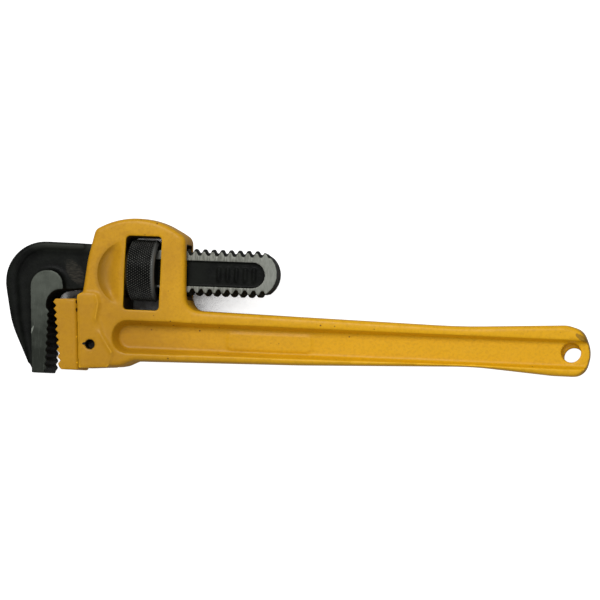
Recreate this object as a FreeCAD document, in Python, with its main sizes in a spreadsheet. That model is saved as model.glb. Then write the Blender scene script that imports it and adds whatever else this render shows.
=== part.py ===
import FreeCAD, Part
import math
import os
import Sketcher

# Pipe wrench lying on its side. The screw axis is X, the handle runs towards +X,
# the jaws bite across -Y and Z is the thickness. Lengths are in millimetres and
# angles in degrees. Every outline is written in the frame of the screw axis; the
# origin shift below then moves all the pieces to the centre of the footprint.

DIMENSIONS = {
    # centre of the footprint and lowest point, seen from the screw axis
    "origin_x": 70.9,
    "origin_y": -12.44,
    "origin_z": -13.9,
    # forged handle with its housing
    "housing_thick": 20.0,
    "jaw_block_thick": 21.6,
    "neck_thick": 18.4,
    "handle_end_thick": 13.4,
    "forging_draft": 3.0,
    "edge_round": 2.0,
    "web_thick": 7.2,
    "web_draft": 18.0,
    "scoop_deep": 2.4,
    "passage_wide": 11.3,
    "window_left": -5.4,
    "window_right": 11.0,
    "window_low": -18.15,
    "window_high": 15.0,
    "window_corner": 1.6,
    "hang_hole_round": 4.3,
    "blank_pad_high": 0.5,
    # screw shared by the shank and the nut
    "screw_pitch": 4.0,
    "screw_crest": 10.6,
    "screw_root": 8.9,
    "screw_phase": 0.3,
    "thread_gap": 0.3,
    "shank_thick": 10.5,
    "shank_end": 63.3,
    "shank_start": -16.0,
    "channel_deep": 1.5,
    "channel_round": 5.7,
    "channel_centre": -0.6,
    # hook head
    "bite_thick": 20.2,
    "rim_thick": 15.0,
    # knurled nut
    "nut_round": 13.9,
    "nut_wide": 13.4,
    "nut_centre": 2.1,
    "nut_bevel": 1.9,
    # loose jaw and its pin
    "heel_thick": 20.4,
    "tongue_thick": 8.0,
    "tongue_gap": 0.05,
    "heel_pin_round": 2.0,
    "heel_pin_long": 14.0,
    "pin_gap": 0.03,
    "pin_bevel": 0.4,
    "seat_bevel": 1.3,
    # springs
    "leaf_thick": 0.4,
    "leaf_wide": 7.0,
    "coil_wire": 0.9,
    "coil_round": 2.3,
    "coil_pitch": 1.45,
    "coil_seat_round": 3.6,
    "rivet_round": 1.2,
    "rivet_head_round": 2.1,
    "rivet_head_high": 0.3,
}

HEEL_TEETH = 9
HOOK_TEETH = 9
SCALE_TICKS = 5
PASSAGE_FLOOR = -12.4
COIL_X = -10.5
COIL_SEAT = -18.6
RIVET_X = -19.8
PIN_CENTRE = (-19.7, -34.4)
# corners that several outlines of the hook share: its back and its throat
HOOK_BACK = [(-22.3, 11.1), (-65.8, 11.7, 18.0), (-57.8, -26.6, 40.0), (-47.1, -48.2, 1.2)]
HOOK_THROAT = [(-40.9, -18.6), (-41.0, -10.6, 6.7), (-14.0, -8.7)]

doc = FreeCAD.newDocument("PipeWrench")
dims = doc.addObject("Spreadsheet::Sheet", "Dims")


def fill_spreadsheet():
    """Write every driving dimension to the sheet under its own alias."""
    for row, (alias, value) in enumerate(DIMENSIONS.items(), start=1):
        dims.set("A%d" % row, alias)
        dims.set("B%d" % row, str(value))
        dims.setAlias("B%d" % row, alias)
    doc.recompute()


def new_body(label):
    """A body whose placement moves it from the screw axis to the origin."""
    body = doc.addObject("PartDesign::Body", label)
    body.Label = label
    for axis in "xyz":
        body.setExpression("Placement.Base." + axis, "-Dims.origin_" + axis)
    return body


def sketch_on(body, role, name, height="0"):
    """A sketch on one of the body's own origin planes, raised by an expression."""
    sketch = body.newObject("Sketcher::SketchObject", name)
    plane = [item for item in body.Origin.OriginFeatures if item.Role == role][0]
    sketch.AttachmentSupport = (plane, [""])
    sketch.MapMode = "FlatFace"
    sketch.setExpression("AttachmentOffset.Base.z", height)
    return sketch


def corner_of(point):
    """The corner that an outline step names."""
    x, y = point[:2] if len(point) == 3 else point[-2:]
    return FreeCAD.Vector(x, y, 0)


def round_corner(before, corner, after, radius):
    """Start, middle and end of the arc that rounds one corner."""
    first = (before - corner).normalize()
    second = (after - corner).normalize()
    half = first.getAngle(second) / 2
    inward = (first + second).normalize()
    reach = radius / math.tan(half)
    middle = corner + inward * (radius / math.sin(half) - radius)
    return corner + first * reach, middle, corner + second * reach


def draw(sketch, points):
    """Close an outline: (x, y) is a sharp corner, (x, y, r) a corner rounded to r,
    and (xm, ym, x, y) a corner reached by an arc through (xm, ym)."""
    corners = [corner_of(point) for point in points]
    count = len(points)
    arcs = []
    for index, point in enumerate(points):
        here = corners[index]
        if len(point) == 3:
            after = corners[(index + 1) % count]
            arcs.append(round_corner(corners[index - 1], here, after, point[2]))
        else:
            arcs.append((here, None, here))
    for index, point in enumerate(points):
        start = arcs[index - 1][2]
        end, middle, leave = arcs[index]
        if len(point) == 4:
            bulge = FreeCAD.Vector(point[0], point[1], 0)
            sketch.addGeometry(Part.Arc(start, bulge, end), False)
        elif start.distanceToPoint(end) > 1e-6:
            sketch.addGeometry(Part.LineSegment(start, end), False)
        if middle is not None:
            sketch.addGeometry(Part.Arc(end, middle, leave), False)


def draw_circle(sketch, centre, radius):
    """A circle whose radius follows an expression."""
    middle = FreeCAD.Vector(centre[0], centre[1], 0)
    index = sketch.addGeometry(Part.Circle(middle, FreeCAD.Vector(0, 0, 1), 1.0), False)
    sketch.addConstraint(Sketcher.Constraint("DistanceX", -1, 1, index, 3, centre[0]))
    sketch.addConstraint(Sketcher.Constraint("DistanceY", -1, 1, index, 3, centre[1]))
    rule = sketch.addConstraint(Sketcher.Constraint("Radius", index, 1.0))
    sketch.setExpression("Constraints[%d]" % rule, radius)


def pad(body, sketch, name, length, draft="0"):
    """Extrude a sketch evenly to both sides of its plane."""
    feature = body.newObject("PartDesign::Pad", name)
    feature.Profile = sketch
    feature.SideType = "Symmetric"
    feature.setExpression("Length", length)
    feature.setExpression("TaperAngle", draft)
    return feature


def cut_through(body, sketch, name):
    """Cut a sketch right through the body, both ways."""
    feature = body.newObject("PartDesign::Pocket", name)
    feature.Profile = sketch
    feature.SideType = "Symmetric"
    feature.Length = 500
    return feature


def cut_slot(body, sketch, name, length):
    """Cut a slot of a given width centred on the sketch plane."""
    feature = body.newObject("PartDesign::Pocket", name)
    feature.Profile = sketch
    feature.SideType = "Symmetric"
    feature.setExpression("Length", length)
    return feature


def cut_outwards(body, points, name, floor, side, draft):
    """A drafted recess: drawn at its floor and widening out to one face."""
    height = floor if side > 0 else "-(%s)" % floor
    sketch = sketch_on(body, "XY_Plane", name + "_floor", height)
    draw(sketch, points)
    feature = body.newObject("PartDesign::Pocket", name)
    feature.Profile = sketch
    feature.Reversed = side > 0
    feature.Length = 12
    feature.setExpression("TaperAngle", draft)
    return feature


def cut_screw(body, name, start, inner, outer, half_inner, half_outer, length):
    """Cut a right-handed helical groove about the X axis."""
    pitch = DIMENSIONS["screw_pitch"]
    sketch = sketch_on(body, "XZ_Plane", name + "_profile")
    draw(sketch, [
        (start - half_inner, inner),
        (start + half_inner, inner),
        (start + half_outer, outer),
        (start - half_outer, outer),
    ])
    feature = body.newObject("PartDesign::SubtractiveHelix", name)
    feature.Profile = sketch
    feature.ReferenceAxis = (sketch, ["H_Axis"])
    feature.Mode = "pitch-height-angle"
    feature.setExpression("Pitch", "Dims.screw_pitch")
    feature.Height = math.ceil(length / pitch) * pitch
    return feature


def rounded_box(left, right, low, high, corner):
    """Outline of a rectangle with round corners."""
    return [
        (left, low, corner),
        (right, low, corner),
        (right, high, corner),
        (left, high, corner),
    ]


def edges_where(feature, chosen):
    """Names of a feature's edges whose bounding box passes a test."""
    doc.recompute()
    numbered = enumerate(feature.Shape.Edges, start=1)
    return ["Edge%d" % number for number, edge in numbered if chosen(edge.BoundBox)]


def round_edges(body, base, name, radius, chosen):
    """Round those edges of a feature that the test picks out."""
    feature = body.newObject("PartDesign::Fillet", name)
    feature.Base = (base, edges_where(base, chosen))
    feature.setExpression("Radius", radius)
    return feature


def bevel_edges(body, base, name, size, chosen):
    """Chamfer those edges of a feature that the test picks out."""
    feature = body.newObject("PartDesign::Chamfer", name)
    feature.Base = (base, edges_where(base, chosen))
    feature.setExpression("Size", size)
    return feature


def handle_outline():
    """Outline of the forging: jaw block, handle, eye end, housing loop and throat."""
    return [
        (-24.5, -45.3),
        (-5.3, -44.0, 6.0),
        (0.2, -41.25, 6.0),
        (74.0, -39.9, 300.0),
        (152.0, -37.2, 150.0),
        (187.0, -39.75, 40.0),
        (201.3, -39.8, 6.5),
        (204.2, -28.8, 14.0),
        (200.3, -19.2, 7.0),
        (193.0, -17.2, 8.0),
        (146.0, -19.6, 300.0),
        (23.4, -17.1, 6.5),
        (22.0, 15.6, 4.5),
        (0.15, 28.66, 35.7),
        (-20.3, 17.8, 3.5),
        (-23.35, 4.5, 60.0),
        (-25.0, -11.2, 2.5),
        (-26.8, -12.6),
    ]


def jaw_block_outline():
    """Raised cheek beside the loose jaw, bounded by a ridge on the handle side."""
    return [
        (-24.5, -45.3),
        (-10.6, -44.3, 1.5),
        (-9.2, -37.5, 2.0),
        (-17.9, -26.0, 8.0),
        (-16.6, -16.0, 6.0),
        (-18.2, -11.4, 1.0),
        (-25.0, -11.2),
        (-26.8, -12.6),
    ]


def build_handle():
    """Forged handle with the housing loop, window, passages and recesses."""
    body = new_body("handle_frame")
    sketch = sketch_on(body, "XY_Plane", "forging_outline")
    draw(sketch, handle_outline())
    pad(body, sketch, "forging", "Dims.housing_thick", "-Dims.forging_draft")

    neck = DIMENSIONS["neck_thick"] / 2
    tail = DIMENSIONS["handle_end_thick"] / 2
    for side, word in ((1, "near"), (-1, "far")):
        sketch = sketch_on(body, "XZ_Plane", "handle_side_" + word)
        draw(sketch, [
            (18.0, side * 30.0),
            (18.0, side * 10.01),
            (27.0, side * neck, 40.0),
            (150.0, side * (0.35 * neck + 0.65 * tail), 200.0),
            (215.0, side * tail),
            (215.0, side * 30.0),
        ])
        last = cut_through(body, sketch, "handle_taper_" + word)

    def outer_edge(box):
        on_a_face = box.ZMin > 5.0 or box.ZMax < -5.0
        across = box.YLength > 20.0 and box.XLength < 6.0
        return on_a_face and not across

    round_edges(body, last, "forging_round", "Dims.edge_round", outer_edge)

    sketch = sketch_on(body, "XY_Plane", "cheek_outline")
    draw(sketch, jaw_block_outline())
    pad(body, sketch, "cheek", "Dims.jaw_block_thick")

    web_floor = [
        (-7.9, -24.9, 4.9),
        (-7.9, -35.6, 4.9),
        (220.0, -35.4),
        (220.0, -24.8),
    ]
    scoop_floor = [
        (-7.8, -16.0),
        (-7.8, 12.2),
        (-17.9, -2.1, -7.8, -16.0),
    ]
    for side, word in ((1, "near"), (-1, "far")):
        cut_outwards(body, web_floor, "web_" + word, "Dims.web_thick / 2", side, "Dims.web_draft")
        cut_outwards(
            body, scoop_floor, "scoop_" + word,
            "Dims.housing_thick / 2 - Dims.scoop_deep", side, "0")

    sketch = sketch_on(body, "XY_Plane", "blank_panel")
    draw(sketch, rounded_box(42.0, 80.0, -34.0, -26.6, 2.0))
    pad(body, sketch, "size_panel", "Dims.web_thick + 2 * Dims.blank_pad_high")

    sketch = sketch_on(body, "XY_Plane", "window_outline")
    draw(sketch, rounded_box(
        DIMENSIONS["window_left"], DIMENSIONS["window_right"],
        DIMENSIONS["window_low"], DIMENSIONS["window_high"], DIMENSIONS["window_corner"]))
    cut_through(body, sketch, "window")

    sketch = sketch_on(body, "XY_Plane", "passage_side")
    draw(sketch, [
        (-40.0, PASSAGE_FLOOR),
        (-4.0, PASSAGE_FLOOR),
        (10.0, -10.9),
        (30.0, -10.9),
        (30.0, 11.9),
        (10.0, 11.9),
        (-4.0, 11.5),
        (-40.0, 11.5),
    ])
    cut_slot(body, sketch, "passage", "Dims.passage_wide")

    sketch = sketch_on(body, "XY_Plane", "tongue_slot_side")
    gap = DIMENSIONS["tongue_gap"]
    draw(sketch, tongue_outline(gap))
    cut_slot(body, sketch, "tongue_slot", "Dims.tongue_thick + 2 * Dims.tongue_gap")

    sketch = sketch_on(body, "XY_Plane", "pin_hole_outline")
    draw_circle(sketch, PIN_CENTRE, "Dims.heel_pin_round + Dims.pin_gap")
    cut_through(body, sketch, "pin_hole")

    for centre, reverse in (((195.1, -29.2), True), ((196.2, -31.4), False)):
        word = "near" if reverse else "far"
        sketch = sketch_on(body, "XY_Plane", "hang_hole_outline_" + word)
        draw_circle(sketch, centre, "Dims.hang_hole_round")
        feature = body.newObject("PartDesign::Pocket", "hang_hole_" + word)
        feature.Profile = sketch
        feature.Reversed = reverse
        feature.Length = 20

    for name, x, radius, bottom in (
            ("coil_seat", COIL_X, "Dims.coil_seat_round", COIL_SEAT),
            ("rivet_hole", RIVET_X, "Dims.rivet_round", -16.6)):
        sketch = sketch_on(body, "XZ_Plane", name + "_outline", str(-bottom))
        draw_circle(sketch, (x, 0), radius)
        feature = body.newObject("PartDesign::Pocket", name)
        feature.Profile = sketch
        feature.Reversed = False
        feature.Length = -bottom
    return body


def seat_x(y):
    """Where the seat of the loose jaw lies at a given height."""
    return -26.7 + 2.2 * (-13.8 - y) / 31.5


def tongue_outline(gap):
    """Tongue of the loose jaw, or the slot for it when a gap is given."""
    low = -41.0 - gap
    high = -27.5 + gap
    return [
        (-32.0, low),
        (-15.0 + gap, low),
        (-15.0 + gap, high),
        (-32.0, high),
    ]


def build_heel_jaw():
    """Loose lower jaw: toothed face, tongue and the hole for its pin."""
    body = new_body("heel_jaw")
    first, last = (-37.7, -16.0), (-34.2, -43.7)
    teeth = []
    for index in range(HEEL_TEETH):
        share = index / HEEL_TEETH
        half = (index + 0.5) / HEEL_TEETH
        teeth.append((first[0] + share * 3.5, first[1] - share * 27.7))
        teeth.append((first[0] + half * 3.5 + 1.35, first[1] - half * 27.7))
    outline = [(-36.7, -14.5)] + teeth + [
        last,
        (-33.4, -45.3),
        (-32.5, -46.2),
        (-24.9, -46.2),
        (seat_x(-45.4), -45.4),
        (seat_x(-14.0), -14.0),
    ]
    sketch = sketch_on(body, "XY_Plane", "jaw_outline")
    draw(sketch, outline)
    block = pad(body, sketch, "jaw_block", "Dims.heel_thick")

    def seat_edge(box):
        return box.YLength > 25 and box.XMin > -27.5 and box.ZLength < 0.01

    bevel_edges(body, block, "seat_bevel", "Dims.seat_bevel", seat_edge)

    sketch = sketch_on(body, "XY_Plane", "tongue_side")
    draw(sketch, tongue_outline(0.0))
    pad(body, sketch, "tongue", "Dims.tongue_thick")
    sketch = sketch_on(body, "XY_Plane", "pin_hole_outline")
    draw_circle(sketch, PIN_CENTRE, "Dims.heel_pin_round + Dims.pin_gap")
    cut_through(body, sketch, "pin_hole")
    return body


def build_heel_pin():
    """Plain round pin that holds the loose jaw in the handle."""
    body = new_body("heel_jaw_pin")
    sketch = sketch_on(body, "XY_Plane", "pin_section")
    draw_circle(sketch, PIN_CENTRE, "Dims.heel_pin_round")
    base = pad(body, sketch, "pin", "Dims.heel_pin_long")
    bevel_edges(body, base, "pin_bevel", "Dims.pin_bevel", lambda box: box.ZLength < 0.01)
    return body


def on_line(first, last, x):
    """The point at a given x on the straight line between two outline corners."""
    share = (x - first[0]) / (last[0] - first[0])
    return x, first[1] + share * (last[1] - first[1])


def hook_teeth():
    """Tooth tips and valleys of the hook, from the toe to the throat."""
    teeth = []
    for index in range(HOOK_TEETH):
        tip = -45.6 + index * 3.15
        teeth.append((-40.35, tip - 1.6))
        teeth.append((-39.3, tip))
    return teeth


def hook_outline():
    """Side view of the hook: neck, rounded back, toe, teeth and throat."""
    return [(-14.0, 10.4)] + HOOK_BACK + [(-40.6, -48.2)] + hook_teeth() + HOOK_THROAT


def bite_outline():
    """Machined side of the biting block, curling round the throat."""
    return [
        (-46.2, -48.2),
        (-49.2, -1.7, 7.5),
        (-34.6, -1.7, 6.6),
        on_line(HOOK_THROAT[1], HOOK_THROAT[2], -33.3),
        HOOK_THROAT[1],
        HOOK_THROAT[0],
    ] + hook_teeth()[::-1] + [(-40.6, -48.2)]


def rim_outline():
    """Thick back of the hook, thinning out towards the toe."""
    return [
        (-24.9, 8.0),
        on_line(HOOK_BACK[0], HOOK_BACK[1], -24.9),
        HOOK_BACK[1],
        HOOK_BACK[2],
        on_line(HOOK_BACK[2], HOOK_BACK[3], -48.3),
        (-53.2, -28.0, 60.0),
        (-58.0, 8.3, 14.0),
    ]


def build_hook():
    """Hook jaw in one piece with its flat-sided screw shank."""
    body = new_body("hook_jaw")
    crest = DIMENSIONS["screw_crest"]
    flat = DIMENSIONS["shank_thick"] / 2
    edge = math.sqrt(crest ** 2 - flat ** 2)
    sketch = sketch_on(body, "YZ_Plane", "screw_section", "Dims.shank_start")
    draw(sketch, [
        (-edge, -flat),
        (edge, -flat),
        (crest, 0.0, edge, flat),
        (-edge, flat),
        (-crest, 0.0, -edge, -flat),
    ])
    feature = body.newObject("PartDesign::Pad", "screw_blank")
    feature.Profile = sketch
    feature.setExpression("Length", "Dims.shank_end - Dims.shank_start")

    start = DIMENSIONS["screw_phase"] - 5 * DIMENSIONS["screw_pitch"]
    cut_screw(body, "screw_thread", start, DIMENSIONS["screw_root"],
              DIMENSIONS["screw_crest"] + 0.6, 0.5, 1.75, 88.0)

    tip = DIMENSIONS["shank_end"]
    turn = tip - crest
    sketch = sketch_on(body, "XY_Plane", "end_outline")
    slant = crest * math.sqrt(0.5)
    draw(sketch, [
        (turn, -crest),
        (turn + slant, -slant, tip, 0.0),
        (turn + slant, slant, turn, crest),
        (turn, crest + 4.0),
        (tip + 6.0, crest + 4.0),
        (tip + 6.0, -crest - 4.0),
        (turn, -crest - 4.0),
    ])
    cut_through(body, sketch, "round_end")

    sketch = sketch_on(body, "XY_Plane", "hook_side")
    draw(sketch, hook_outline())
    pad(body, sketch, "hook_web", "Dims.shank_thick")
    sketch = sketch_on(body, "XY_Plane", "rim_side")
    draw(sketch, rim_outline())
    pad(body, sketch, "hook_rim", "Dims.rim_thick")
    sketch = sketch_on(body, "XY_Plane", "bite_side")
    draw(sketch, bite_outline())
    pad(body, sketch, "bite_block", "Dims.bite_thick")

    reach = DIMENSIONS["channel_round"]
    middle = DIMENSIONS["channel_centre"]
    right = 57.7 - reach
    floor = "Dims.shank_thick / 2 - Dims.channel_deep"
    channel = [
        (-12.0, middle - reach),
        (right, middle - reach),
        (right + reach, middle, right, middle + reach),
        (-12.0, middle + reach),
    ]
    for side, word in ((1, "near"), (-1, "far")):
        cut_outwards(body, channel, "channel_" + word, floor, side, "0")

    sketch = sketch_on(body, "XY_Plane", "scale_side")
    for index in range(SCALE_TICKS):
        left = 36.0 + 4.0 * index
        draw(sketch, rounded_box(left, left + 1.2, -3.6, 2.4, 0.5))
    pad(body, sketch, "scale_ticks", "Dims.shank_thick - 2 * Dims.channel_deep + 1.2")
    return body


def build_nut():
    """Round adjusting nut with a bore that matches the screw."""
    body = new_body("adjusting_nut")
    half = DIMENSIONS["nut_wide"] / 2
    centre = DIMENSIONS["nut_centre"]
    gap = DIMENSIONS["thread_gap"]
    bore = DIMENSIONS["screw_root"] + gap
    outer = DIMENSIONS["nut_round"]
    bevel = DIMENSIONS["nut_bevel"]
    sketch = sketch_on(body, "XZ_Plane", "ring_section")
    draw(sketch, [
        (centre - half, bore),
        (centre + half, bore),
        (centre + half, outer - bevel),
        (centre + half - 0.6 * bevel, outer),
        (centre - half + 0.6 * bevel, outer),
        (centre - half, outer - bevel),
    ])
    ring = body.newObject("PartDesign::Revolution", "ring")
    ring.Profile = sketch
    ring.ReferenceAxis = (sketch, ["H_Axis"])
    ring.Angle = 360

    pitch = DIMENSIONS["screw_pitch"]
    start = DIMENSIONS["screw_phase"] + pitch / 2 - 3 * pitch
    cut_screw(body, "bore_thread", start, bore - 0.8, DIMENSIONS["screw_crest"] + gap,
              1.93, 0.85, 24.0)
    return body


def leaf_outline():
    """Side view of the leaf spring: flat under its rivet, then rising to the shank."""
    thick = DIMENSIONS["leaf_thick"]
    low = PASSAGE_FLOOR
    return [
        (-23.0, low),
        (-16.5, low),
        (-12.0, low + 0.35, -7.2, low + 1.2),
        (-7.3, low + 1.2 + thick),
        (-12.0, low + 0.35 + thick, -16.6, low + thick),
        (-23.0, low + thick),
    ]


def build_leaf():
    """Leaf spring between the coil and the shank."""
    body = new_body("flat_spring")
    sketch = sketch_on(body, "XY_Plane", "leaf_side")
    draw(sketch, leaf_outline())
    pad(body, sketch, "leaf", "Dims.leaf_wide")
    sketch = sketch_on(body, "XZ_Plane", "rivet_hole_outline")
    draw_circle(sketch, (RIVET_X, 0), "Dims.rivet_round + 0.02")
    cut_through(body, sketch, "rivet_hole")
    return body


def build_rivet():
    """Low-headed rivet that holds the leaf spring to the floor of the passage."""
    body = new_body("spring_rivet")
    top = -(PASSAGE_FLOOR + DIMENSIONS["leaf_thick"])
    for name, radius, length in (("stem", "Dims.rivet_round - 0.02", "4.2"),
                                 ("head", "Dims.rivet_head_round", "Dims.rivet_head_high")):
        sketch = sketch_on(body, "XZ_Plane", name + "_section", str(top))
        draw_circle(sketch, (RIVET_X, 0), radius)
        feature = body.newObject("PartDesign::Pad", name)
        feature.Profile = sketch
        feature.Reversed = name == "head"
        feature.setExpression("Length", length)
    return body


def build_coil():
    """Small compression spring under the free end of the leaf."""
    body = new_body("coil_spring")
    sketch = sketch_on(body, "XY_Plane", "wire_section")
    sketch.AttachmentOffset = FreeCAD.Placement(
        FreeCAD.Vector(COIL_X, COIL_SEAT + 0.5, 0), FreeCAD.Rotation())
    draw_circle(sketch, (DIMENSIONS["coil_round"], 0.0), "Dims.coil_wire / 2")
    feature = body.newObject("PartDesign::AdditiveHelix", "coil")
    feature.Profile = sketch
    feature.ReferenceAxis = (sketch, ["V_Axis"])
    feature.Mode = "pitch-height-angle"
    feature.setExpression("Pitch", "Dims.coil_pitch")
    feature.Height = 5.6
    return body


def check_and_export(bodies):
    """Refuse to write anything unless every object and solid is sound."""
    doc.recompute()
    for body in bodies:
        before = None
        for item in body.Group:
            if item.TypeId.startswith("PartDesign"):
                if before is not None and abs(item.Shape.Volume - before) < 0.05:
                    print("no change:", body.Label, item.Label)
                before = item.Shape.Volume
    bad = [item.Label for item in doc.Objects if "Invalid" in item.State or "Error" in item.State]
    for body in bodies:
        shape = body.Shape
        if shape.isNull() or not shape.isValid() or len(shape.Solids) != 1:
            bad.append(body.Label)
    if bad:
        raise RuntimeError("unsound objects: " + ", ".join(bad))
    os.makedirs("parts", exist_ok=True)
    for body in bodies:
        body.Shape.exportStep("parts/%s.step" % body.Label)
        box = body.Shape.BoundBox
        print("%-14s volume %9.1f  x %.2f..%.2f  y %.2f..%.2f  z %.2f..%.2f" % (
            body.Label, body.Shape.Volume, box.XMin, box.XMax, box.YMin, box.YMax,
            box.ZMin, box.ZMax))


fill_spreadsheet()
check_and_export([
    build_handle(),
    build_heel_jaw(),
    build_heel_pin(),
    build_hook(),
    build_nut(),
    build_leaf(),
    build_rivet(),
    build_coil(),
])
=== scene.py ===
import math

import bmesh
import bpy
from mathutils import Matrix, Vector


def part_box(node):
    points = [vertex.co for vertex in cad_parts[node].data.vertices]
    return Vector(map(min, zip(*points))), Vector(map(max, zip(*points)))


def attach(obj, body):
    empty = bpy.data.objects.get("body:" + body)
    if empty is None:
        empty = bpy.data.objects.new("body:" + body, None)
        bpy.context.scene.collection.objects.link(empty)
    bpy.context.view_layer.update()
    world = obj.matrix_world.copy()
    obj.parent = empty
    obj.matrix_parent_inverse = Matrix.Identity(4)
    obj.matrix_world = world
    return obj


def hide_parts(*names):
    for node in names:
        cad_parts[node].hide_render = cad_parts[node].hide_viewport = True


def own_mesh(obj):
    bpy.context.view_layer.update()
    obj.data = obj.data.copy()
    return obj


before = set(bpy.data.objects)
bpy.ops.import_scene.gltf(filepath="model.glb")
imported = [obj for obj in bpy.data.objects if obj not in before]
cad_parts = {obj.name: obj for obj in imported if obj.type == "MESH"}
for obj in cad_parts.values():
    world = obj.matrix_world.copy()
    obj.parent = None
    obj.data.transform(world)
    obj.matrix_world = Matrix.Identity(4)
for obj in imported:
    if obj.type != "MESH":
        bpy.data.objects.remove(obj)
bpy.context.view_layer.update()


def middle(node):
    """The middle of a CAD node's box, in millimetres in the shared frame."""
    low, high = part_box(node)
    return (low + high) * 500.0


# Lengths and places are in millimetres from the screw axis, with X along the screw
# towards the handle's end, -Y towards the jaws' tips and Z across the wrench.
NUT_CENTRE = 2.1
ORIGIN = Vector((NUT_CENTRE, 0.0, 0.0)) - middle("adjusting_nut")
PIN_HOLE = middle("heel_jaw_pin") + ORIGIN

# left, right, low and high borders of the housing's openings
WINDOW = (-6.0, 11.6, -18.9, 15.6)
PASSAGE = (-30.0, 30.0, -12.8, 12.2)
# half the housing's thickness, and the two ends of the forging along X
HOUSING_HALF = 10.0
JAW_SEAT = -27.0
HANDLE_TIP = 199.0

# the crooked ridge that bounds the jaw block
RIDGE = ((-17.6, -12.2), (-16.4, -15.7), (-17.5, -22.5), (-14.9, -29.1), (-9.4, -37.5))
RIDGE_HIGH = 0.75
RIDGE_WIDE = 0.75

# the round thumb relief, cut off by a chord beside the window
SCOOP_CENTRE = (-3.0, -1.9)
SCOOP_ROUND = 14.9
SCOOP_CHORD = -7.8
SCOOP_DEEP = 2.3
SCOOP_FADE = 3.5

# the nut's barrel and the rings of points of its knurl
BARREL = 13.4
KNURL_AROUND = 72
KNURL_RINGS = 12
KNURL_STEP = 0.92
KNURL_HIGH = 0.5
KNURL_SUNK = 0.04
KNURL_SHIFT = -0.2
POINT_FLAT = 0.12

COARSE = 1.0


def at(x, y, z):
    """A point measured from the screw axis, as a position in metres in the shared frame."""
    return (Vector((x, y, z)) - ORIGIN) * 0.001


# ---------------------------------------------------------------- shader helpers


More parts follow.
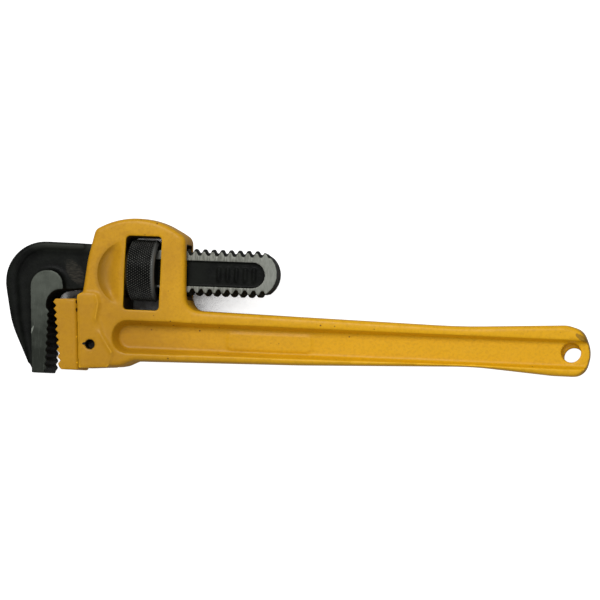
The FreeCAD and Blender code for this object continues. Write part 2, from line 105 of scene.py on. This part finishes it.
class Nodes:
    """Short way to write a material as nested node calls."""

    def __init__(self, name):
        self.material = bpy.data.materials.new(name)
        self.material.use_nodes = True
        self.tree = self.material.node_tree
        self.tree.nodes.clear()
        corner = self.add("ShaderNodeTexCoord").outputs["Object"]
        mapping = self.add("ShaderNodeMapping")
        self.feed(mapping.inputs["Vector"], corner)
        self.feed(mapping.inputs["Scale"], (1000.0, 1000.0, 1000.0))
        self.feed(mapping.inputs["Location"], ORIGIN)
        self.place = mapping.outputs["Vector"]

    def add(self, kind, **settings):
        node = self.tree.nodes.new(kind)
        for key, value in settings.items():
            setattr(node, key, value)
        return node

    def feed(self, socket, value):
        """Link a socket, or set it when the value is a plain number or colour."""
        if isinstance(value, bpy.types.NodeSocket):
            self.tree.links.new(value, socket)
        else:
            socket.default_value = value

    def noise(self, scale, detail=3.0, rough=0.5, vector=None, warp=0.0):
        node = self.add("ShaderNodeTexNoise")
        self.feed(node.inputs["Vector"], vector or self.place)
        self.feed(node.inputs["Scale"], scale)
        self.feed(node.inputs["Detail"], detail)
        self.feed(node.inputs["Roughness"], rough)
        self.feed(node.inputs["Distortion"], warp)
        return node.outputs["Fac"]

    def stretch(self, scale, turn):
        """Places scaled and turned, so that a noise on them runs in streaks."""
        node = self.add("ShaderNodeMapping")
        self.feed(node.inputs["Vector"], self.place)
        self.feed(node.inputs["Scale"], scale)
        self.feed(node.inputs["Rotation"], turn)
        return node.outputs["Vector"]

    def spots(self, scale, size):
        """One inside small round spots and zero elsewhere."""
        node = self.add("ShaderNodeTexVoronoi")
        self.feed(node.inputs["Vector"], self.place)
        self.feed(node.inputs["Scale"], scale)
        return self.band(node.outputs["Distance"], size, size * 0.5)

    def band(self, value, low, high, to_low=0.0, to_high=1.0):
        """A smooth step from one number to another as the value goes from low to high."""
        node = self.add("ShaderNodeMapRange", interpolation_type="SMOOTHSTEP")
        self.feed(node.inputs["Value"], value)
        for key, number in (("From Min", low), ("From Max", high),
                            ("To Min", to_low), ("To Max", to_high)):
            self.feed(node.inputs[key], number)
        return node.outputs["Result"]

    def maths(self, operation, first, second=0.0):
        node = self.add("ShaderNodeMath", operation=operation)
        self.feed(node.inputs[0], first)
        self.feed(node.inputs[1], second)
        return node.outputs["Value"]

    def mix(self, factor, first, second):
        node = self.add("ShaderNodeMix", data_type="RGBA")
        self.feed(node.inputs["Factor"], factor)
        self.feed(node.inputs["A"], first)
        self.feed(node.inputs["B"], second)
        return node.outputs["Result"]

    def axis(self, name, vector=None):
        node = self.add("ShaderNodeSeparateXYZ")
        self.feed(node.inputs["Vector"], vector or self.place)
        return node.outputs[name]

    def height(self):
        """Distance from the middle plane of the wrench."""
        return self.maths("ABSOLUTE", self.axis("Z"))

    def facing(self, name):
        """The surface normal's share along one axis of the object."""
        return self.axis(name, self.add("ShaderNodeTexCoord").outputs["Normal"])

    def all_of(self, *masks):
        """The product of several masks."""
        result = masks[0]
        for mask in masks[1:]:
            result = self.maths("MULTIPLY", result, mask)
        return result

    def within(self, left, right, low, high, soft=0.5):
        """One inside a rectangle of the wrench's side view, fading over its border."""
        x = self.axis("X")
        y = self.axis("Y")
        return self.all_of(
            self.band(x, left - soft, left + soft),
            self.band(x, right - soft, right + soft, 1.0, 0.0),
            self.band(y, low - soft, low + soft),
            self.band(y, high - soft, high + soft, 1.0, 0.0))

    def blot(self, x, y, wide, high, turn=0.0, ragged=0.3):
        """One inside a ragged oval of the wrench's side view."""
        node = self.add("ShaderNodeMapping", vector_type="TEXTURE")
        self.feed(node.inputs["Vector"], self.place)
        self.feed(node.inputs["Location"], (x, y, 0.0))
        self.feed(node.inputs["Rotation"], (0.0, 0.0, turn))
        self.feed(node.inputs["Scale"], (wide, high, 1000.0))
        length = self.add("ShaderNodeVectorMath", operation="LENGTH")
        self.feed(length.inputs[0], node.outputs["Vector"])
        wobble = self.maths("MULTIPLY", self.noise(1.2, 3.0), ragged * 2.0)
        edge = self.maths("ADD", length.outputs["Value"], wobble)
        return self.band(edge, 0.85 + ragged, 1.15 + ragged, 1.0, 0.0)

    def edges(self, low, high):
        """One on raised edges, from the mesh's own pointiness."""
        geometry = self.add("ShaderNodeNewGeometry")
        return self.band(geometry.outputs["Pointiness"], low, high)

    def bump(self, height, strength, distance):
        node = self.add("ShaderNodeBump")
        self.feed(node.inputs["Height"], height)
        self.feed(node.inputs["Strength"], strength)
        self.feed(node.inputs["Distance"], distance)
        return node.outputs["Normal"]

    def finish(self, color, roughness, metallic=0.0, normal=None, coat=0.0, coat_rough=0.1,
               specular=0.5):
        shader = self.add("ShaderNodeBsdfPrincipled")
        self.feed(shader.inputs["Base Color"], color)
        self.feed(shader.inputs["Roughness"], roughness)
        self.feed(shader.inputs["Metallic"], metallic)
        self.feed(shader.inputs["Coat Weight"], coat)
        self.feed(shader.inputs["Coat Roughness"], coat_rough)
        self.feed(shader.inputs["Specular IOR Level"], specular)
        if normal is not None:
            self.feed(shader.inputs["Normal"], normal)
        output = self.add("ShaderNodeOutputMaterial")
        self.feed(output.inputs["Surface"], shader.outputs["BSDF"])
        return self.material


def rgb(red, green, blue):
    """An sRGB colour in 0 to 255, as the linear colour that the shaders use."""
    def linear(value):
        value /= 255.0
        return value / 12.92 if value <= 0.04045 else ((value + 0.055) / 1.055) ** 2.4
    return (linear(red), linear(green), linear(blue), 1.0)


# ---------------------------------------------------------------- materials


def enamel_tone(n, patch):
    """Cloudy yellow, brighter along the handle and duller on the jaw block."""
    tone = n.noise(0.045, 4.0, 0.55)
    color = n.mix(n.band(tone, 0.35, 0.68), rgb(180, 130, 14), rgb(192, 141, 17))
    color = n.mix(n.band(patch, 0.52, 0.8, 0.0, 0.45), color, rgb(158, 108, 12))
    blotch = n.noise(0.11, 5.0, 0.62, warp=0.6)
    color = n.mix(n.band(blotch, 0.48, 0.72, 0.0, 0.40), color, rgb(164, 114, 12))
    color = n.mix(n.band(n.axis("X"), -10.0, 115.0, 0.0, 0.85), color, rgb(217, 162, 9))
    jaw_block = n.all_of(n.band(n.axis("Y"), -20.0, -8.0, 0.4, 0.0),
                         n.band(n.axis("X"), 4.0, 24.0, 1.0, 0.0))
    color = n.mix(jaw_block, color, rgb(152, 107, 14))
    stipple = n.band(n.noise(0.8, 3.0, 0.6), 0.42, 0.68, 0.0, 0.22)
    return n.mix(stipple, color, rgb(150, 104, 12))


def enamel_relief(n, patch, color):
    """Painted highlight on the raised edges, grime and painted shade in the hollows, and painted
    shade in the thumb relief.
    """
    # painted highlight along the raised edges, found from the mesh's pointiness
    painted_edge_highlight = n.all_of(n.edges(0.52, 0.58), n.band(n.axis("X"), JAW_SEAT - 0.5, JAW_SEAT + 0.5))
    color = n.mix(painted_edge_highlight, color, rgb(228, 174, 30))
    # the hollows are darkened brown: part grime, part painted shade
    hollow_grime_and_shade = n.maths("SUBTRACT", 1.0, n.edges(0.42, 0.49))
    color = n.mix(n.all_of(hollow_grime_and_shade, n.band(patch, 0.3, 0.7, 0.18, 0.45)), color, rgb(128, 86, 14))
    # painted shade in the thumb relief, darkest away from its chord and fading towards it
    dish = n.blot(*SCOOP_CENTRE, SCOOP_ROUND + 0.3, SCOOP_ROUND + 0.3, ragged=0.02)
    shaded = n.band(n.axis("X"), SCOOP_CHORD - 10.7, SCOOP_CHORD + 0.6, 1.0, 0.0)
    dish = n.all_of(dish, shaded)
    return n.mix(n.maths("MULTIPLY", dish, 0.75), color, rgb(116, 83, 22))


def enamel_openings(n, patch, color):
    """Black oil and painted shade on the walls of the window and of the passages for the shank."""
    window = n.all_of(n.within(*WINDOW, soft=0.3), n.band(n.height(), 8.8, 9.7, 1.0, 0.0))
    passage = n.all_of(n.within(*PASSAGE, soft=0.3), n.band(n.height(), 5.6, 6.2, 1.0, 0.0))
    # the walls inside the openings are painted near black: oil and painted shade
    oil_and_shade = n.maths("MAXIMUM", window, passage)
    return n.mix(n.all_of(oil_and_shade, n.band(patch, 0.2, 0.8, 1.0, 0.86)), color, rgb(24, 19, 11))


def enamel_chips(n):
    """One where the enamel is chipped away: beside the loose jaw, and in stray specks."""
    beside_jaw = n.maths("MAXIMUM", n.blot(JAW_SEAT + 0.4, -19.2, 0.55, 1.0),
                         n.blot(JAW_SEAT + 0.1, -15.6, 0.45, 0.9))
    specks = n.all_of(n.spots(0.095, 0.06), n.band(n.noise(0.022, 2.0), 0.56, 0.62))
    return n.maths("MAXIMUM", beside_jaw, specks)


def enamel_damage_and_shade(n, chips, color):
    """Rust in the chips, painted shade in the pin hole with its run of dirt, a stain and the end
    face of the handle darkened by dirt and painted shade.
    """
    run_of_dirt = n.blot(PIN_HOLE.x - 2.2, PIN_HOLE.y + 0.3, 1.3, 0.6, 0.15, 0.25)
    # painted shade darkening the pin hole, joined to a real run of dirt
    pin_hole_shade_and_dirt = n.maths("MAXIMUM", n.blot(PIN_HOLE.x, PIN_HOLE.y, 2.35, 2.35, ragged=0.12), run_of_dirt)
    color = n.mix(chips, color, rgb(70, 38, 14))
    color = n.mix(pin_hole_shade_and_dirt, color, rgb(9, 7, 5))
    scuff = n.blot(HANDLE_TIP + 0.6, -22.8, 3.0, 1.0, -0.6, 0.4)
    color = n.mix(n.maths("MULTIPLY", scuff, 0.6), color, rgb(84, 60, 22))
    # the end face of the handle, turned along X, is darkened: dirt and painted shade
    dirty_shaded_end = n.all_of(n.band(n.axis("X"), HANDLE_TIP - 7.0, HANDLE_TIP),
                        n.band(n.facing("X"), 0.25, 0.8))
    return n.mix(n.maths("MULTIPLY", dirty_shaded_end, 0.5), color, rgb(84, 62, 34))


def yellow_enamel(name):
    """Enamel over a rough forging, grimy and painted with shade in its openings, with painted
    highlights on its edges, and chipped at its corners.
    """
    n = Nodes(name)
    patch = n.noise(0.26, 3.0, 0.6)
    chips = enamel_chips(n)
    color = enamel_relief(n, patch, enamel_tone(n, patch))
    grime = n.all_of(n.spots(0.21, 0.10), n.band(n.noise(0.03), 0.50, 0.58))
    color = n.mix(grime, color, rgb(104, 62, 14))
    color = enamel_openings(n, patch, color)
    color = enamel_damage_and_shade(n, chips, color)

    swell = n.noise(0.075, 3.0, 0.5)
    grain = n.noise(0.9, 2.0, 0.5)
    height = n.maths("ADD", swell, n.maths("MULTIPLY", grain, 0.10))
    height = n.maths("SUBTRACT", height, n.maths("MULTIPLY", chips, 0.4))
    rough = n.band(patch, 0.3, 0.7, 0.38, 0.5)
    return n.finish(color, rough, normal=n.bump(height, 0.5, 0.0006), coat=0.04,
                    coat_rough=0.3, specular=0.18)


def forged_black(n, tone, level):
    """Black forging skin, greyer on the hook's top band and rubbed beside the housing."""
    x = n.axis("X")
    color = n.mix(n.band(tone, 0.3, 0.7), rgb(10, 11, 10), rgb(21, 23, 20))
    top_band = n.all_of(n.band(n.axis("Y"), 6.2, 10.0), n.band(x, -56.0, -40.0),
                        n.band(level, 0.3, 0.95))
    color = n.mix(n.maths("MULTIPLY", top_band, 0.7), color, rgb(48, 50, 45))
    streak = n.noise(1.0, 3.0, 0.6, n.stretch((0.5, 3.0, 0.5), (0.0, 0.0, 0.7)))
    rubbed = n.all_of(n.blot(-29.5, -2.0, 3.2, 6.5, 0.6, 0.35), n.band(streak, 0.3, 0.75),
                      n.band(n.height(), 4.6, 5.0))
    return n.mix(n.maths("MULTIPLY", rubbed, 0.38), color, rgb(86, 81, 72))


def ground_bite(n):
    """Grey of the ground side of the hook's bite, darker towards the tip, with one nick."""
    grinding = n.noise(1.0, 3.0, 0.55, n.stretch((1.6, 0.12, 0.1), (0.0, 0.0, 0.06)))
    cloud = n.band(n.noise(0.16, 3.0, 0.6), 0.3, 0.7, -0.15, 0.2)
    share = n.maths("ADD", n.band(n.axis("Y"), -46.0, -4.0, -0.1, 0.8), cloud)
    color = n.mix(share, rgb(40, 43, 38), rgb(78, 82, 75))
    color = n.mix(n.band(grinding, 0.55, 0.8, 0.0, 0.4), color, rgb(100, 104, 96))
    nick = n.blot(-46.9, -29.0, 0.4, 1.8, -0.3, 0.5)
    return n.mix(nick, color, rgb(118, 122, 114))


def filed_rail_with_sheen(n):
    """Filed grey of the shank's rails, with a painted sheen that brightens them towards the round
    end.
    """
    filed = n.noise(1.0, 3.0, 0.6, n.stretch((1.9, 0.35, 0.3), (0.0, 0.0, 0.9)))
    color = n.mix(n.band(filed, 0.3, 0.7), rgb(90, 91, 84), rgb(132, 133, 126))
    # painted sheen brightening the rails towards their round end
    return n.mix(n.band(n.axis("X"), 46.0, 60.0, 0.0, 0.6), color, rgb(128, 131, 124))


def black_steel(name):
    """Blackened forging, ground bright on the bite and the shank's rails, with a painted sheen at
    the rails' round end.
    """
    n = Nodes(name)
    tone = n.noise(0.12, 4.0, 0.6)
    high = n.height()
    level = n.maths("ABSOLUTE", n.facing("Z"))
    ground = n.all_of(n.band(high, 9.0, 9.55), n.band(level, 0.6, 0.9))
    rails = n.all_of(n.band(n.axis("X"), -6.0, -4.0), n.band(high, 4.75, 5.05),
                     n.band(level, 0.55, 0.9))
    color = n.mix(ground, forged_black(n, tone, level), ground_bite(n))
    color = n.mix(rails, color, filed_rail_with_sheen(n))

    bright = n.maths("MAXIMUM", rails, n.maths("MULTIPLY", ground, 0.5))
    pitted = n.maths("MULTIPLY", n.noise(1.2, 2.0), 0.5)
    height = n.maths("ADD", n.noise(0.18), pitted)
    height = n.maths("MULTIPLY", height, n.maths("SUBTRACT", 1.1, bright))
    return n.finish(color, n.band(tone, 0.3, 0.7, 0.42, 0.55), n.maths("MULTIPLY", bright, 0.3),
                    n.bump(height, 0.4, 0.0004), specular=0.06)


def knurled_steel(name):
    """Oiled black steel of the nut, with painted highlights on one rim and on the points of the
    knurl.
    """
    n = Nodes(name)
    across = n.add("ShaderNodeCombineXYZ")
    n.feed(across.inputs["Y"], n.axis("Y"))
    n.feed(across.inputs["Z"], n.axis("Z"))
    length = n.add("ShaderNodeVectorMath", operation="LENGTH")
    n.feed(length.inputs[0], across.outputs["Vector"])
    radius = length.outputs["Value"]
    x = n.axis("X")
    tone = n.noise(0.3, 3.0)
    color = n.mix(n.band(tone, 0.3, 0.7), rgb(8, 8, 7), rgb(15, 15, 14))
    # painted highlight on the points of the knurl
    points = n.all_of(n.band(radius, BARREL + 0.26, BARREL + 0.46),
                      n.band(tone, 0.25, 0.6, 0.5, 1.0))
    color = n.mix(n.maths("MULTIPLY", points, 0.8), color, rgb(118, 119, 112))
    # painted highlight on the nut's rim towards the handle
    painted_rim_highlight = n.all_of(n.band(x, 7.0, 7.5), n.band(x, 8.5, 8.8, 1.0, 0.0),
                   n.band(radius, 11.5, 12.0))
    color = n.mix(n.maths("MULTIPLY", painted_rim_highlight, 0.9), color, rgb(86, 87, 84))
    return n.finish(color, 0.4, 0.25, n.bump(n.noise(1.5, 2.0), 0.3, 0.0001), specular=0.2)


def plain_steel(name, dark, light, rough):
    """Bare steel for the pin, the rivet and the springs."""
    n = Nodes(name)
    tone = n.noise(0.5, 3.0)
    color = n.mix(n.band(tone, 0.35, 0.7), dark, light)
    return n.finish(color, rough, 0.9, n.bump(tone, 0.3, 0.0001))


# ---------------------------------------------------------------- pieces


def wear(node, material):
    """Give a shown CAD node its material in place of every imported one."""
    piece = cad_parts[node]
    piece.data.materials.clear()
    piece.data.materials.append(material)


def merged(node):
    """A new object with a CAD node's mesh, its loose triangles joined."""
    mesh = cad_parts[node].data.copy()
    mesh.materials.clear()
    work = bmesh.new()
    work.from_mesh(mesh)
    bmesh.ops.remove_doubles(work, verts=work.verts, dist=2e-6)
    work.to_mesh(mesh)
    work.free()
    piece = bpy.data.objects.new(node + "_shown", mesh)
    bpy.context.collection.objects.link(piece)
    return piece


def bake(piece):
    """Turn an object's modifiers into its plain mesh."""
    graph = bpy.context.evaluated_depsgraph_get()
    mesh = bpy.data.meshes.new_from_object(piece.evaluated_get(graph))
    piece.modifiers.clear()
    piece.data = mesh


def show(piece, node, body):
    """The finished piece stands for its CAD node."""
    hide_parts(node)
    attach(piece, body)


def soften(node, body, material, grid, passes, rubbed, rub_passes, shape=None):
    """A forged piece: an even skin over the CAD shape, rounded at every edge and
    rubbed rounder still where the test says so. The grid is in millimetres."""
    piece = merged(node)
    skin = piece.modifiers.new("skin", "REMESH")
    skin.mode = "VOXEL"
    skin.voxel_size = grid * COARSE * 0.001
    bake(piece)
    if shape is not None:
        shape(piece.data)
    group = piece.vertex_groups.new(name="rubbed")
    chosen = [v.index for v in piece.data.vertices if rubbed(v.co * 1000.0 + ORIGIN)]
    group.add(chosen, 1.0, "ADD")
    wear_down = piece.modifiers.new("wear_down", "SMOOTH")
    wear_down.factor = 0.5
    wear_down.iterations = rub_passes
    wear_down.vertex_group = group.name
    rub = piece.modifiers.new("rub", "SMOOTH")
    rub.factor = 0.5
    rub.iterations = passes
    bake(piece)
    for face in piece.data.polygons:
        face.use_smooth = True
    piece.data.materials.append(material)
    show(piece, node, body)


def to_ridge(x, y):
    """Distance from the crooked ridge that bounds the jaw block."""
    nearest = math.inf
    for (x0, y0), (x1, y1) in zip(RIDGE, RIDGE[1:]):
        run = x1 - x0
        rise = y1 - y0
        share = ((x - x0) * run + (y - y0) * rise) / (run ** 2 + rise ** 2)
        share = min(1.0, max(0.0, share))
        nearest = min(nearest, math.hypot(x - x0 - share * run, y - y0 - share * rise))
    return nearest


def scoop_depth(x, away):
    """Depth of the thumb relief: round like a dish, and fading out towards its chord."""
    inward = (SCOOP_ROUND - away) / (SCOOP_ROUND - abs(SCOOP_CHORD - SCOOP_CENTRE[0]))
    inward = min(1.0, max(0.0, inward))
    fade = min(1.0, max(0.0, (SCOOP_CHORD + 0.4 - x) / SCOOP_FADE))
    return SCOOP_DEEP * fade * math.sin(math.pi * inward ** 0.7)


def shape_housing(mesh):
    """Hollow each thumb relief like a dish, and raise the ridge beside the jaw block."""
    for vertex in mesh.vertices:
        x, y, z = vertex.co * 1000.0 + ORIGIN
        if abs(z) > 9.0 and x < -7.0 and -45.0 < y < -11.0:
            lift = RIDGE_HIGH * math.exp(-(to_ridge(x, y) / RIDGE_WIDE) ** 2)
            vertex.co.z += math.copysign(lift, z) * 0.001
        away = math.hypot(x - SCOOP_CENTRE[0], y - SCOOP_CENTRE[1])
        if abs(z) > 7.0 and x <= SCOOP_CHORD + 0.4 and away <= SCOOP_ROUND + 0.2:
            level = max(abs(z), HOUSING_HALF - scoop_depth(x, away))
            vertex.co.z = (math.copysign(level, z) - ORIGIN.z) * 0.001


def hook_back(point):
    """True on the rounded back and web of the hook, clear of its ground side and teeth."""
    on_head = point.x < -20.0
    behind_bite = point.x < -52.0
    above_throat = point.y > -0.5
    below_ground_side = abs(point.z) < 8.8
    by_teeth = point.x > -42.5 and point.y < -8.0
    return on_head and (behind_bite or above_throat or below_ground_side) and not by_teeth


def heel_shoulder(point):
    """True on the edges of the loose jaw beside its seat."""
    return point.x > JAW_SEAT - 4.5 and abs(point.z) > 6.0


def scoop_rib(point):
    """True where the thumb relief runs out into the rib beside the window."""
    beside_window = -11.5 < point.x < -6.3
    along_chord = -17.5 < point.y < 13.5
    return beside_window and along_chord and abs(point.z) > 7.0


class Geometry:
    """Short way to wire a geometry node group that has named inputs."""

    def __init__(self, name, inputs):
        self.group = bpy.data.node_groups.new(name, "GeometryNodeTree")
        self.group.interface.new_socket("Body", in_out="INPUT", socket_type="NodeSocketGeometry")
        for key, kind in inputs:
            self.group.interface.new_socket(key, in_out="INPUT", socket_type=kind)
        self.group.interface.new_socket("Result", in_out="OUTPUT",
                                        socket_type="NodeSocketGeometry")
        self.given = self.group.nodes.new("NodeGroupInput").outputs

    def add(self, kind, inputs, **settings):
        """A new node, its settings set and its inputs linked or given plain values."""
        node = self.group.nodes.new(kind)
        for key, value in settings.items():
            setattr(node, key, value)
        for key, value in inputs.items():
            if isinstance(value, bpy.types.NodeSocket):
                self.group.links.new(value, node.inputs[key])
            else:
                node.inputs[key].default_value = value
        return node

    def maths(self, operation, first, second=0.0):
        return self.add("ShaderNodeMath", {0: first, 1: second}, operation=operation).outputs[0]


def knurl_group():
    """Rings of small four-sided points round the X axis, every other ring half a step on."""
    g = Geometry("knurl", [("Around", "NodeSocketInt"), ("Rings", "NodeSocketInt"),
                           ("Step", "NodeSocketFloat"), ("Radius", "NodeSocketFloat"),
                           ("Start", "NodeSocketFloat"), ("High", "NodeSocketFloat"),
                           ("Finish", "NodeSocketMaterial")])
    around = g.given["Around"]
    index = g.add("GeometryNodeInputIndex", {}).outputs[0]
    ring = g.maths("FLOOR", g.maths("DIVIDE", index, around))
    odd = g.maths("MULTIPLY", g.maths("MODULO", ring, 2.0), 0.5)
    place = g.maths("ADD", g.maths("MODULO", index, around), odd)
    angle = g.maths("MULTIPLY", g.maths("DIVIDE", place, around), math.tau)
    other_way = g.maths("MULTIPLY", g.given["Radius"], -1.0)
    spot = g.add("ShaderNodeCombineXYZ", {
        "X": g.maths("ADD", g.given["Start"], g.maths("MULTIPLY", ring, g.given["Step"])),
        "Y": g.maths("MULTIPLY", g.maths("SINE", angle), other_way),
        "Z": g.maths("MULTIPLY", g.maths("COSINE", angle), g.given["Radius"])})
    points = g.add("GeometryNodePoints", {
        "Count": g.maths("MULTIPLY", around, g.given["Rings"]), "Position": spot.outputs[0]})
    cone = g.add("GeometryNodeMeshCone", {
        "Vertices": 4, "Radius Top": POINT_FLAT, "Radius Bottom": 1.0, "Depth": 1.0},
        fill_type="NGON")
    reach = g.maths("DIVIDE", g.maths("MULTIPLY", g.given["Radius"], math.pi), around)
    size = g.add("ShaderNodeCombineXYZ", {"X": g.given["Step"], "Y": reach, "Z": g.given["High"]})
    turn = g.add("ShaderNodeCombineXYZ", {"X": angle})
    copies = g.add("GeometryNodeInstanceOnPoints", {
        "Points": points.outputs[0], "Instance": cone.outputs["Mesh"],
        "Rotation": turn.outputs[0], "Scale": size.outputs[0]})
    real = g.add("GeometryNodeRealizeInstances", {"Geometry": copies.outputs[0]})
    moved = g.add("GeometryNodeTransform", {
        "Geometry": real.outputs[0], "Translation": at(NUT_CENTRE, 0.0, 0.0)})
    joined = g.group.nodes.new("GeometryNodeJoinGeometry")
    g.group.links.new(g.given["Body"], joined.inputs[0])
    g.group.links.new(moved.outputs[0], joined.inputs[0])
    painted = g.add("GeometryNodeSetMaterial", {
        "Geometry": joined.outputs[0], "Material": g.given["Finish"]})
    output = g.group.nodes.new("NodeGroupOutput")
    g.group.links.new(painted.outputs[0], output.inputs[0])
    return g.group


def make_nut(material):
    """The nut: its CAD ring with the barrel turned down, and a knurl on the barrel."""
    piece = merged("adjusting_nut")
    for vertex in piece.data.vertices:
        x, y, z = vertex.co * 1000.0 + ORIGIN
        radius = math.hypot(y, z)
        if radius > BARREL:
            share = BARREL / radius
            vertex.co = at(x, y * share, z * share)
    step = KNURL_STEP * 0.001
    values = {"Around": KNURL_AROUND, "Rings": KNURL_RINGS, "Step": step,
              "Radius": (BARREL - KNURL_SUNK) * 0.001,
              "Start": KNURL_SHIFT * 0.001 - 0.5 * step * (KNURL_RINGS - 1),
              "High": KNURL_HIGH * 0.001, "Finish": material}
    group = knurl_group()
    knurl = piece.modifiers.new("knurl", "NODES")
    knurl.node_group = group
    for item in group.interface.items_tree:
        if item.in_out == "INPUT" and item.name in values:
            knurl[item.identifier] = values[item.name]
    bake(piece)
    show(piece, "adjusting_nut", "nut")


def make_coil(material):
    """The small spring, smooth-shaded and carried whole on the rocker body."""
    piece = merged("coil_spring")
    for face in piece.data.polygons:
        face.use_smooth = True
    piece.data.materials.append(material)
    show(piece, "coil_spring", "rocker")
    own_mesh(piece)


enamel = yellow_enamel("yellow_enamel")
forging = black_steel("black_forging")
soften("handle_frame", "base", enamel, grid=0.58, passes=5,
       rubbed=scoop_rib, rub_passes=24, shape=shape_housing)
soften("heel_jaw", "base", enamel, grid=0.27, passes=2,
       rubbed=heel_shoulder, rub_passes=60)
soften("hook_jaw", "hook", forging, grid=0.39, passes=2,
       rubbed=hook_back, rub_passes=120)
make_nut(knurled_steel("oiled_nut_steel"))
pin_steel = plain_steel("pin_steel", rgb(22, 20, 18), rgb(48, 45, 40), 0.5)
spring_steel = plain_steel("spring_steel", rgb(20, 20, 19), rgb(42, 41, 38), 0.5)
wear("heel_jaw_pin", pin_steel)
wear("spring_rivet", pin_steel)
wear("flat_spring", spring_steel)
make_coil(spring_steel)


# ---------------------------------------------------------------- stage, light, camera


def make_floor(half=2.0, sky_reach=0.04, closed=0.145, open_air=0.21, glow=0.95):
    """White sheet under the wrench, dark only where the wrench nearly covers it.

    Lengths are in metres. Closed and open air are shares of open sky."""
    mesh = bpy.data.meshes.new("floor")
    mesh.from_pydata([(-half, -half, 0), (half, -half, 0), (half, half, 0), (-half, half, 0)],
                     [], [(0, 1, 2, 3)])
    floor = bpy.data.objects.new("floor", mesh)
    bpy.context.collection.objects.link(floor)
    n = Nodes("white_floor")
    shader = n.add("ShaderNodeBsdfPrincipled")
    n.feed(shader.inputs["Base Color"],
           n.mix(n.noise(0.008), (0.30, 0.30, 0.30, 1.0), (0.36, 0.36, 0.36, 1.0)))
    n.feed(shader.inputs["Roughness"], 0.9)
    n.feed(shader.inputs["Specular IOR Level"], 0.1)
    sky = n.add("ShaderNodeAmbientOcclusion", samples=24)
    n.feed(sky.inputs["Distance"], sky_reach)
    seen = n.add("ShaderNodeLightPath").outputs["Is Camera Ray"]
    lit = n.all_of(n.band(sky.outputs["AO"], closed, open_air), seen)
    n.feed(shader.inputs["Emission Color"], (1.0, 1.0, 1.0, 1.0))
    n.feed(shader.inputs["Emission Strength"], n.maths("MULTIPLY", lit, glow))
    output = n.add("ShaderNodeOutputMaterial")
    n.feed(output.inputs["Surface"], shader.outputs["BSDF"])
    mesh.materials.append(n.material)


def make_light(name, place, size, power):
    """A soft square lamp aimed at the middle of the wrench."""
    data = bpy.data.lights.new(name, "AREA")
    data.size = size
    data.energy = power
    lamp = bpy.data.objects.new(name, data)
    lamp.location = place
    wrench_middle = Vector((0.0, 0.0, 0.01))
    ray = wrench_middle - lamp.location
    lamp.rotation_euler = ray.to_track_quat("-Z", "Y").to_euler()
    bpy.context.collection.objects.link(lamp)


def make_world(strength):
    """Even white light from all round."""
    world = bpy.data.worlds.new("studio")
    world.use_nodes = True
    back = world.node_tree.nodes["Background"]
    back.inputs["Color"].default_value = (1.0, 1.0, 1.0, 1.0)
    back.inputs["Strength"].default_value = strength
    bpy.context.scene.world = world


def make_camera():
    """Looks down on the wrench from over its handle, a long way off."""
    data = bpy.data.cameras.new("camera")
    data.sensor_width = 36.0
    data.lens = 152.3
    data.clip_end = 10.0
    camera = bpy.data.objects.new("camera", data)
    place = at(268.6, -46.6, 1117.0)
    target = at(73.3, -10.6, 0.0)
    look = (target - place).normalized()
    up = Vector((-0.0445, 0.999, 0.0))
    right = look.cross(up).normalized()
    above = right.cross(look)
    turn = Matrix((right, above, -look)).transposed()
    camera.matrix_world = Matrix.Translation(place) @ turn.to_4x4()
    bpy.context.collection.objects.link(camera)
    bpy.context.scene.camera = camera


make_floor()
make_world(0.45)
make_light("top_lamp", (-0.2, 0.55, 1.0), 0.5, 9.2)
make_light("fill_lamp", (0.5, -0.5, 0.9), 0.7, 2.0)
make_camera()
bpy.context.scene.view_settings.view_transform = "Standard"
